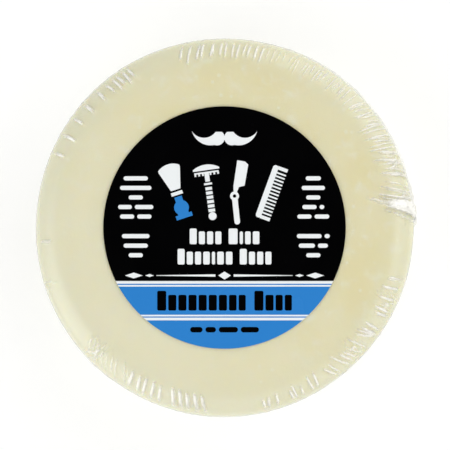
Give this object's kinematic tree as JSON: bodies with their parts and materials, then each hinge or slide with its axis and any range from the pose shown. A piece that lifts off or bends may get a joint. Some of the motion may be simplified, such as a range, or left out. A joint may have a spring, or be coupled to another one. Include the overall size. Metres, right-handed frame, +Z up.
{
  "type": "shaving soap puck",
  "caption": "Round puck of cream shaving soap sealed in clear shrink film with a pleated rim, with a round printed label on each face.",
  "frame": {"origin": "centre of the back label's outer face, on which the puck rests", "axes": "+Z up through the front label, along the puck's axis; +Y towards the front label's top edge; +X to the label's right"},
  "size_m": [0.0802, 0.0802, 0.0308],
  "materials": {
    "soap": "waxy cream soap, slightly translucent",
    "film": "clear glossy shrink film",
    "film_seam": "clear film, milky where it is welded",
    "adhesive": "clear pressure-sensitive adhesive",
    "label_stock": "smooth white label paper",
    "ink_black": "satin black print",
    "ink_blue": "satin blue print"
  },
  "bodies": {
    "root": {"soap_puck": "soap", "wrap_front_web": "film", "wrap_back_web": "film", "wrap_welded_seam": "film_seam", "front_label_adhesive": "adhesive", "front_label_stock": "label_stock", "front_label_dark_ink": "ink_black", "front_label_blue_ink": "ink_blue", "back_label_adhesive": "adhesive", "back_label_stock": "label_stock", "back_label_dark_ink": "ink_black"}
  },
  "joints": []
}
